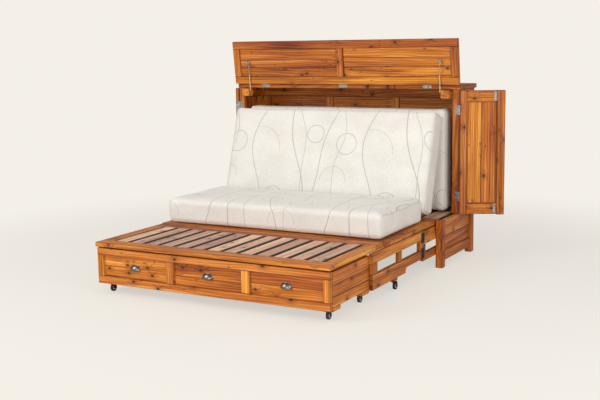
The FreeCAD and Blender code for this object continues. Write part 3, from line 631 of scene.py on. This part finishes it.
# ---------------------------------------------------------------- wings
def wing(word, side):
    """A panelled door with a moulding, and the corner post of the case that it carries."""
    swing = turning(f"wing_hinge_{word}", -joints[f"wing_hinge_{word}"]["range_deg"][1])
    x = mirrored(side, half - WING_THICK, half)
    y = (front + CORNER_POST, mid_line - MID_GAP)
    z = (base_top + WING_GAP, case_top - WING_GAP)
    work = Joinery()
    windows = framed(work, (x[0], y[0], z[0]), (x[1], y[1], z[1]), 1, 2, (WING_EDGE, WING_STILE),
                     (WING_RAIL, WING_RAIL), through="stiles", swing=swing)
    deep = half - WING_THICK + WING_PANEL_IN
    filled(work, windows[0], 0, mirrored(side, deep, deep + PANEL), 2, 2, swing)
    moulded(work, windows[0], 0, side * deep, -side * MOULDING_PROUD, swing)
    work.done(f"wing_panelled_{word}", f"wing_{word}", "oiled_wood", OILED, f"wing_door_{word}")
    work = Joinery()
    x = mirrored(side, inner, half)
    work.board((x[0], front, z[0]), (x[1], front + CORNER_POST, z[1]), "z", swing, ease=BOARD_EASE)
    work.done(f"wing_corner_{word}", f"wing_{word}", "oiled_wood", OILED, f"wing_post_{word}")


for word, side in SIDES.items():
    wing(word, side)

# ---------------------------------------------------------------- drawer
low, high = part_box("drawer_front_frame")
work = Joinery()
panels = Joinery()
windows = framed(work, low, high, 0, 2, (DRAWER_STILE, DRAWER_STILE), DRAWER_RAILS, 2, DRAWER_MULLION)
for window in windows:
    filled(panels, window, 1, (high[1] - PANEL, high[1]), 0, 2)
work.done("drawer_front_rails", "drawer", "oiled_wood", OILED, "drawer_front_frame")
panels.done("drawer_front_fields", "drawer", "panel_wood", OILED, "drawer_front_panels")

low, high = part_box("drawer_box")
work = Joinery()
for side in SIDES.values():
    wall = mirrored(side, high[0] - DRAWER_WALL, high[0])
    filled(work, {1: (low[1], high[1]), 2: (low[2], high[2])}, 0, wall, 1, 3)
across = (low[0] + DRAWER_WALL, high[0] - DRAWER_WALL)
back, floor_top = high[1] - DRAWER_WALL, low[2] + DRAWER_FLOOR
filled(work, {0: across, 2: (floor_top, high[2])}, 1, (back, high[1]), 0, 2)
filled(work, {0: across, 1: (low[1], back)}, 2, (low[2], floor_top), 0, 4)
work.done("drawer_case", "drawer", "oiled_wood", OILED, "drawer_box")

low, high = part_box("drawer_caster_blocks")
work = Joinery()
for x in (low[0], high[0] - CASTER_BLOCK):
    for y in (low[1], high[1] - CASTER_BLOCK):
        work.board((x, y, low[2]), (x + CASTER_BLOCK, y + CASTER_BLOCK, high[2]), "x")
work.done("drawer_foot_blocks", "drawer", "oiled_wood", OILED, "drawer_caster_blocks")

# A pull's half width, height, depth, rim and wall, and how far up its cup starts.
PULL_WIDE, PULL_TALL, PULL_DEEP, PULL_RIM = 0.0325, 0.0300, 0.0200, 0.0024
PULL_WALL, PULL_UP = 0.0018, 0.001
PULL_ROWS, PULL_COLUMNS = 10, 26
# The rim's two rows: how much wider than the cup, and how far from the panel.
RIM_ROWS = {-2: (1.075, 0.0), -1: (1.055, PULL_RIM)}


def cup_pull(face, x, base):
    """A half-round cup open at the bottom, with a flat rim against the panel."""
    shape = bmesh.new()
    grid = []
    for row in range(-len(RIM_ROWS), PULL_ROWS + 1):
        turn = math.pi / 2 * max(row, 0) / PULL_ROWS
        grow, lift = RIM_ROWS.get(row, (1.0, PULL_RIM * 0.6))
        narrow = math.cos(turn) * (1 - 0.06 * math.sin(turn))
        ring = []
        for column in range(PULL_COLUMNS + 1):
            way = math.pi * column / PULL_COLUMNS
            ring.append(shape.verts.new((x - grow * PULL_WIDE * math.cos(way),
                                         face - lift - PULL_DEEP * math.sin(way) * math.sin(turn),
                                         base + grow * PULL_TALL * math.sin(way) * narrow)))
        grid.append(ring)
    for first, second in zip(grid, grid[1:]):
        for i in range(PULL_COLUMNS):
            shape.faces.new((first[i], first[i + 1], second[i + 1], second[i]))
    bmesh.ops.remove_doubles(shape, verts=shape.verts[:], dist=1e-5)
    bmesh.ops.recalc_face_normals(shape, faces=shape.faces[:])
    return shape


pull_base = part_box("drawer_pulls")[0][2] + PULL_UP
panel_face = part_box("drawer_front_panels")[0][1]
for index, window in enumerate(windows):
    mesh = meshed(cup_pull(panel_face, sum(window[0]) / 2, pull_base), "cup_pull")
    pull = placed(mesh, f"cup_pull_{index}", "drawer", "pewter", PEWTER, "drawer_pulls")
    wall = pull.modifiers.new("wall", "SOLIDIFY")
    wall.thickness = PULL_WALL
    wall.offset = 0.0


# ---------------------------------------------------------------- slatted decks
def slatted(name):
    """A deck's frame and its slats, and a rounded board behind the frame where it ends early."""
    low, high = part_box(f"{name}_frame")
    slat_low, slat_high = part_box(f"{name}_slats")
    stile = high[0] - (slat_high[0] + SLAT_GAP)
    rails = (DECK_FRONT_RAILS[name], DECK_BACK_RAIL)
    end = slat_high[1] + DECK_BACK_RAIL
    work = Joinery()
    framed(work, low, (high[0], end, high[2]), 0, 1, (stile, stile), rails)
    if high[1] > end + EASE:
        work.board((low[0], end - 2 * EASE, low[2]), high, "x", ease=DECK_NOSING)
    work.done(f"{name}_rails", name, "oiled_wood", OILED, f"{name}_frame")
    pitch = (slat_high[0] - slat_low[0] + SLAT_GAP) / SLAT_COUNT
    work = Joinery()
    for i in range(SLAT_COUNT):
        x = slat_low[0] + i * pitch
        work.board((x, slat_low[1], slat_low[2]), (x + pitch - SLAT_GAP, slat_high[1], slat_high[2]),
                   "y", ease=SLAT_EASE)
    work.done(f"{name}_boards", name, "inner_wood", SLATS_AND_SHEEN, f"{name}_slats")


slatted("deck_front")
slatted("deck_mid")

# ---------------------------------------------------------------- folding side frames
# The front frames: the low board and its step, the windows' height, the uprights and the foot block.
KEEL, STEP, STEP_AT, STEP_ROUND, TOP_EASE = 0.068, 0.099, 0.473, 0.024, 0.004
WINDOW_LOW, WINDOW_HIGH = 0.153, 0.214
END_STILE, FIRST_WINDOW, STILE = 0.070, 0.292, 0.048
FOOT_FROM, FOOT_TO = 0.655, 0.595
# The rear frames: the low rail, the first and the last upright, and where the high board starts.
REAR_RAIL, REAR_STILE, REAR_TAIL, REAR_BOARD = 0.050, 0.044, 0.064, 0.185


def front_leaf(word):
    low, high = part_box(f"side_frame_front_{word}")
    y0, y1 = low[1], high[1]
    step = front - STEP_AT
    quarter = [math.pi / 2 * i / 6 for i in range(7)]
    bend = [(step + STEP_ROUND - STEP_ROUND * math.cos(a), STEP - STEP_ROUND + STEP_ROUND * math.sin(a))
            for a in quarter]
    outline = [(y0, KEEL), (step, KEEL), *bend, (y1, STEP), (y1, WINDOW_LOW), (y0, WINDOW_LOW)]
    work = Joinery()
    work.plank(outline, low[0], high[0])
    work.board((low[0], y0, WINDOW_HIGH), (high[0], y1, high[2] + TOP_EASE), "y")
    first = y0 + END_STILE + FIRST_WINDOW
    for a, b in ((y0, y0 + END_STILE), (first, first + STILE), (y1 - STILE, y1)):
        work.board((low[0], a, WINDOW_LOW), (high[0], b, WINDOW_HIGH), "z")
    work.board((low[0], front - FOOT_FROM, low[2]), (high[0], front - FOOT_TO, KEEL + EASE), "y")
    work.done(f"side_leaf_front_{word}", f"side_front_{word}", "oiled_wood", OILED,
              f"side_frame_front_{word}")


def rear_leaf(word):
    low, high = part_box(f"side_frame_rear_{word}")
    rail_top = low[2] + REAR_RAIL
    work = Joinery()
    work.board((low[0], low[1], REAR_BOARD), high, "y")
    work.board(low, (high[0], high[1], rail_top), "y")
    for a, b in ((low[1], low[1] + REAR_STILE), (high[1] - REAR_TAIL, high[1])):
        work.board((low[0], a, rail_top), (high[0], b, REAR_BOARD), "z")
    work.done(f"side_leaf_rear_{word}", f"side_rear_{word}", "oiled_wood", OILED,
              f"side_frame_rear_{word}")


for word in SIDES:
    front_leaf(word)
    rear_leaf(word)

# ---------------------------------------------------------------- casters
# Half a wheel's outline from the axle out, as shares of its radius and of half its width.
WHEEL_PROFILE = [(0.0035, 1.0), (0.30, 1.0), (0.34, 0.80), (0.52, 0.72), (0.60, 0.92), (0.72, 1.0),
                 (0.90, 1.0), (0.975, 0.86), (1.0, 0.55)]
WHEEL_TURNS, HUB_STEPS = 36, 4


def wheel_shape(centre, radius, half_wide):
    """A tyre with a rounded tread and a dished hub, turned about X."""
    profile = WHEEL_PROFILE + [(r, -w) for r, w in reversed(WHEEL_PROFILE)]
    shape = bmesh.new()
    rings = []
    for i in range(WHEEL_TURNS):
        angle = 2 * math.pi * i / WHEEL_TURNS
        rings.append([shape.verts.new(centre + Vector((
            w * half_wide, r * radius * math.cos(angle), r * radius * math.sin(angle))))
            for r, w in profile])
    steps = len(profile) - 1
    hub_faces = []
    for i in range(WHEEL_TURNS):
        first, second = rings[i], rings[(i + 1) % WHEEL_TURNS]
        for k in range(steps):
            face = shape.faces.new((first[k], second[k], second[k + 1], first[k + 1]))
            if k < HUB_STEPS or k >= steps - HUB_STEPS:
                hub_faces.append(face)
    bmesh.ops.recalc_face_normals(shape, faces=shape.faces[:])
    for face in hub_faces:
        face.material_index = 1
    return shape


for end in CASTER_ENDS:
    for word in SIDES:
        low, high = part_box(f"caster_wheel_{end}_{word}")
        centre = (Vector(low) + Vector(high)) / 2
        mesh = meshed(wheel_shape(centre, (high[2] - low[2]) / 2, (high[0] - low[0]) / 2), "wheel")
        wheel = placed(mesh, f"tyre_{end}_{word}", f"wheel_{end}_{word}", "caster_rubber", RUBBER,
                       f"caster_wheel_{end}_{word}")
        wheel.data.materials.append(HUB)


# ---------------------------------------------------------------- metal that keeps its own shape
def dressed(look, *nodes):
    for name in nodes:
        piece = frame["nodes"][name]
        if not piece.material_slots:
            piece.data.materials.append(look)
        for place in piece.material_slots:
            place.material = look


dressed(CHROME, "cabinet_hinges", "lid_hardware", "wing_hinge_leaves_left", "wing_hinge_leaves_right",
        "stay_rod_left", "stay_rod_right")
dressed(BRASS, "stay_barrel_left", "stay_barrel_right")
dressed(STEEL, "pivot_pins")
dressed(BLACK, "deck_hinge_mid_leaves", "deck_hinge_front_leaves")
for word in SIDES:
    dressed(BLACK, f"knee_hinge_front_{word}", f"knee_hinge_rear_{word}")
    for end in CASTER_ENDS:
        dressed(BLACK, f"caster_fork_{end}_{word}")

# ---------------------------------------------------------------- mattress
# How far the foam block lies inside the cover's size, its rounding, the most that the cover swells,
# and how fine its mesh is.
PAD_IN, PAD_ROUND, SWELL_MOST, VOXEL = 0.005, 0.028, 0.011, 0.012
SWELL_PRESSURE, SWELL_FRAMES = 4.0, 20
# Shallow dimples: how deep, how many to a metre, and how they differ from pad to pad.
DIMPLE, DIMPLE_SCALE, DIMPLE_SHIFT = 0.0022, 6.0, 7
# How far a pad stays above the underside of its box, and how far it may pass the box elsewhere.
REST_CLEAR, PAST_BOX = 0.001, 0.006
# The seams: how far in from each end, how deep and wide their groove is, how far out from the middle
# a point lies that is drawn in, and the tape's radius.
SEAM_IN, SEAM_DEEP, SEAM_WIDE, DRAWN_SHARE, TAPE_ROUND = 0.020, 0.0028, 0.007, 0.9, 0.0026
# Where the cloth's own coordinates start, well below any point of a pad.
CLOTH_ACROSS, CLOTH_DOWN = 3.0, 5.0


def baked(piece):
    """Replace a piece's mesh by what its modifiers make of it."""
    graph = bpy.context.evaluated_depsgraph_get()
    mesh = bpy.data.meshes.new_from_object(piece.evaluated_get(graph))
    piece.modifiers.clear()
    piece.data = mesh


def foam_block(name, low, high):
    """A rounded block with an even mesh."""
    shape = cuboid([edge + PAD_IN for edge in low], [edge - PAD_IN for edge in high])
    bmesh.ops.bevel(shape, geom=shape.edges[:], offset=PAD_ROUND, segments=5, profile=0.5, affect="EDGES")
    piece = bpy.data.objects.new(name, meshed(shape, name))
    bpy.context.collection.objects.link(piece)
    remesh = piece.modifiers.new("even", "REMESH")
    remesh.mode = "VOXEL"
    remesh.voxel_size = VOXEL
    baked(piece)
    return piece


def simulated(piece):
    """Where a cover's points go when it swells under a little pressure."""
    cloth = piece.modifiers.new("swell", "CLOTH")
    cloth.settings.use_pressure = True
    cloth.settings.uniform_pressure_force = SWELL_PRESSURE
    cloth.settings.effector_weights.gravity = 0.0
    cloth.settings.quality = 4
    for step in range(SWELL_FRAMES):
        bpy.context.scene.frame_set(step + 1)
    grown = piece.evaluated_get(bpy.context.evaluated_depsgraph_get()).to_mesh()
    places = [vert.co.copy() for vert in grown.vertices]
    piece.evaluated_get(bpy.context.evaluated_depsgraph_get()).to_mesh_clear()
    bpy.context.view_layer.objects.active = piece
    piece.modifiers.remove(cloth)
    bpy.context.scene.frame_set(1)
    return places


def swollen(piece, low, high):
    """Let a cover swell and dimple a little, about within its box, and make its mesh finer."""
    before = [vert.co.copy() for vert in piece.data.vertices]
    after = simulated(piece)
    middle = (Vector(low) + Vector(high)) / 2
    shift = Vector((low[1] * DIMPLE_SHIFT, 0, 0))
    for vert, old, new in zip(piece.data.vertices, before, after):
        move = new - old
        if move.length > SWELL_MOST:
            move *= SWELL_MOST / move.length
        dimple = field_noise.noise(old * DIMPLE_SCALE + shift) * DIMPLE
        place = old + move + (old - middle).normalized() * dimple
        place.z = max(place.z, low[2] + REST_CLEAR)
        for axis in range(3):
            place[axis] = min(max(place[axis], low[axis] - PAST_BOX), high[axis] + PAST_BOX)
        vert.co = place
    piece.modifiers.new("finer", "SUBSURF").levels = 1
    baked(piece)


def grooved(mesh, low, high, seams):
    """Draw a cover in along its seams."""
    for vert in mesh.vertices:
        near = min(abs(vert.co.x - seam) for seam in seams) / SEAM_WIDE
        inward = Vector()
        for axis in (1, 2):
            away = (low[axis] + high[axis]) / 2 - vert.co[axis]
            if abs(away) / (high[axis] - low[axis]) * 2 > DRAWN_SHARE:
                inward[axis] = away
        if near < 3 and inward.length > 0:
            vert.co += inward.normalized() * SEAM_DEEP * math.exp(-near * near)


def clothed(mesh, seams):
    """Mark where each point lies on the cloth, and whether it is past the seams, on a pad's end."""
    places, ends = [], []
    for vert in mesh.vertices:
        x, y, z = vert.co
        past = x < seams[0] or x > seams[1]
        if past:
            places += (y + CLOTH_ACROSS, z + CLOTH_DOWN, x)
        else:
            places += (x + CLOTH_ACROSS, y + z + CLOTH_DOWN, y - z)
        ends.append(float(past))
    mesh.attributes.new("cloth", "FLOAT_VECTOR", "POINT").data.foreach_set("vector", places)
    mesh.attributes.new("end", "FLOAT", "POINT").data.foreach_set("value", ends)


def seam_loop(mesh, x):
    """The closed line where a pad's cover crosses a plane of constant X, in order."""
    shape = bmesh.new()
    shape.from_mesh(mesh)
    cut = bmesh.ops.bisect_plane(shape, geom=shape.verts[:] + shape.edges[:] + shape.faces[:],
                                 plane_co=(x, 0, 0), plane_no=(1, 0, 0))
    found = [item.co.copy() for item in cut["geom_cut"] if isinstance(item, bmesh.types.BMVert)]
    shape.free()
    middle = sum(found, Vector()) / len(found)
    return sorted(found, key=lambda p: math.atan2(p.z - middle.z, p.y - middle.y))[::2]


def seam_tape(name, mesh, x):
    """A round tape sewn along the line where a pad's cover crosses a plane of constant X."""
    line = bpy.data.curves.new(f"{name}_seam", "CURVE")
    line.dimensions = "3D"
    line.bevel_depth = TAPE_ROUND
    line.bevel_resolution = 3
    points = seam_loop(mesh, x)
    spline = line.splines.new("POLY")
    spline.points.add(len(points) - 1)
    for point, place in zip(spline.points, points):
        point.co = (*place, 1)
    spline.use_cyclic_u = True
    holder = bpy.data.objects.new("line", line)
    bpy.context.collection.objects.link(holder)
    graph = bpy.context.evaluated_depsgraph_get()
    tube = bpy.data.meshes.new_from_object(holder.evaluated_get(graph))
    bpy.data.objects.remove(holder)
    places = [part for vert in tube.vertices for part in vert.co]
    tube.attributes.new("cloth", "FLOAT_VECTOR", "POINT").data.foreach_set("vector", places)
    tube.materials.clear()
    return tube


def pad(name, node, body, low, high, lean=None):
    """A foam pad in a knitted cover: a swollen block with a taped seam round each end."""
    piece = foam_block(name, low, high)
    swollen(piece, low, high)
    mesh = piece.data
    seams = [low[0] + SEAM_IN, high[0] - SEAM_IN]
    grooved(mesh, low, high, seams)
    clothed(mesh, seams)
    tapes = [seam_tape(name, mesh, seam) for seam in seams]
    if lean:
        for cloth in (*tapes, mesh):
            cloth.transform(lean)
    for number, tape in enumerate(tapes):
        placed(tape, f"{name}_tape_{number}", body, "ticking", TAPE, node)
    bpy.context.collection.objects.unlink(piece)
    bpy.data.objects.remove(piece)
    cover = placed(mesh, f"{name}_cover", body, "ticking", TICKING, node)


PLUMP = 0.007
low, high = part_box("mattress_seat")
pad("seat_pad", "mattress_seat", "deck_mid", low, (high[0], high[1], high[2] + PLUMP))
low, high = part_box("mattress_rear")
pad("rear_pad", "mattress_rear", "pad_rear", low, high)
# The back pad stands upright before it leans about the lower edge of its back.
BACK_LEAN, BACK_TALL, BACK_THICK = math.radians(18), 0.660, 0.150
FOOT_BACK, FOOT_UP = 0.043, 0.005
foot = Vector((0, front + FOOT_BACK, base_top + FOOT_UP))
lean = Matrix.Translation(foot) @ Matrix.Rotation(-BACK_LEAN, 4, "X") @ Matrix.Translation(-foot)
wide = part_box("mattress_back")[1][0]
pad("back_pad", "mattress_back", "pad_back", (-wide, foot.y - BACK_THICK - PLUMP, foot.z),
    (wide, foot.y, foot.z + BACK_TALL + PLUMP), lean)

# ---------------------------------------------------------------- floor, light and camera
BACKDROP, FLOOR_COLOUR, DAYLIGHT = (0.905, 0.871, 0.806), (0.80, 0.765, 0.71), (1.0, 0.985, 0.96)
DAYLIGHT_STRENGTH = 0.46
FLOOR_HALF, FLOOR_AT, FADE = 60.0, (0, -0.8, -0.0006), (1.5, 3.6)


def camera_ray(tree):
    return Wire(tree, tree.nodes.new("ShaderNodeLightPath").outputs["Is Camera Ray"])


def blended(tree, share, first, second, output):
    """Send two shaders to a material's or a world's output, the second by its share."""
    blend = tree.nodes.new("ShaderNodeMixShader")
    share.into(blend.inputs[0])
    tree.links.new(first.outputs[0], blend.inputs[1])
    tree.links.new(second.outputs[0], blend.inputs[2])
    tree.links.new(blend.outputs[0], tree.nodes[output].inputs["Surface"])


def studio_floor():
    """A pale floor that takes shadows near the bed and fades into the backdrop further off."""
    look, tree, shader = material("studio_floor", Roughness=0.9, Specular_IOR_Level=0.1)
    shader.inputs["Base Color"].default_value = (*FLOOR_COLOUR, 1)
    x, y, _ = parts_of(tree, tree.nodes.new("ShaderNodeTexCoord").outputs["Object"])
    share = (length(x, y).between(*FADE) * 0.35 + 0.65) * camera_ray(tree)
    glow = tree.nodes.new("ShaderNodeEmission")
    glow.inputs["Color"].default_value = (*BACKDROP, 1)
    blended(tree, share, shader, glow, "Material Output")
    mesh = bpy.data.meshes.new("floor")
    ends = (-FLOOR_HALF, FLOOR_HALF)
    mesh.from_pydata([(right, back, 0) for back in ends for right in ends], [], [(0, 1, 3, 2)])
    mesh.materials.append(look)
    ground = bpy.data.objects.new("floor", mesh)
    ground.location = FLOOR_AT
    bpy.context.collection.objects.link(ground)


def studio_world():
    """Soft daylight on the bed, and the plain backdrop where the camera sees past it."""
    world = bpy.data.worlds.new("studio")
    bpy.context.scene.world = world
    world.use_nodes = True
    tree = world.node_tree
    soft = tree.nodes["Background"]
    soft.inputs["Color"].default_value = (*DAYLIGHT, 1)
    soft.inputs["Strength"].default_value = DAYLIGHT_STRENGTH
    pale = tree.nodes.new("ShaderNodeBackground")
    pale.inputs["Color"].default_value = (*BACKDROP, 1)
    blended(tree, camera_ray(tree), soft, pale, "World Output")


def lamp(name, place, aim, size, power):
    data = bpy.data.lights.new(name, "AREA")
    data.shape = "DISK"
    data.size = size
    data.energy = power
    item = bpy.data.objects.new(name, data)
    item.location = place
    item.rotation_euler = (Vector(aim) - Vector(place)).to_track_quat("-Z", "Y").to_euler()
    bpy.context.collection.objects.link(item)


studio_floor()
studio_world()
lamp("key", (-2.6, -5.4, 3.0), (0, -0.9, 0.5), size=2.6, power=128)
lamp("front", (1.4, -6.2, 1.1), (0, -0.8, 0.7), size=1.8, power=50)
lamp("fill", (4.6, -3.4, 2.2), (0.2, -0.8, 0.5), size=3.0, power=90)
lamp("top", (0.3, -1.6, 4.4), (0, -1.0, 0.3), size=3.0, power=22)

# The camera stands to the right of the bed's front, a little above the lid, and looks slightly down.
AZIMUTH, DOWN, ROLL = math.radians(28.795), math.radians(9.037), math.radians(-0.931)
CAMERA_AT, FOCAL_LENGTH, SIGHT_END = (2.9710, -6.3120, 1.4132), 59.84, 200
back_way = Vector((math.sin(AZIMUTH) * math.cos(DOWN), -math.cos(AZIMUTH) * math.cos(DOWN), math.sin(DOWN)))
right_way = Vector((math.cos(AZIMUTH), math.sin(AZIMUTH), 0))
up_way = back_way.cross(right_way)
right_turned = right_way * math.cos(ROLL) + up_way * math.sin(ROLL)
up_turned = up_way * math.cos(ROLL) - right_way * math.sin(ROLL)
lens = bpy.data.cameras.new("camera")
lens.lens = FOCAL_LENGTH
lens.clip_end = SIGHT_END
camera = bpy.data.objects.new("camera", lens)
turn = Matrix((right_turned, up_turned, back_way)).transposed().to_4x4()
camera.matrix_world = Matrix.Translation(CAMERA_AT) @ turn
bpy.context.collection.objects.link(camera)
bpy.context.scene.camera = camera
bpy.context.scene.view_settings.view_transform = "Standard"
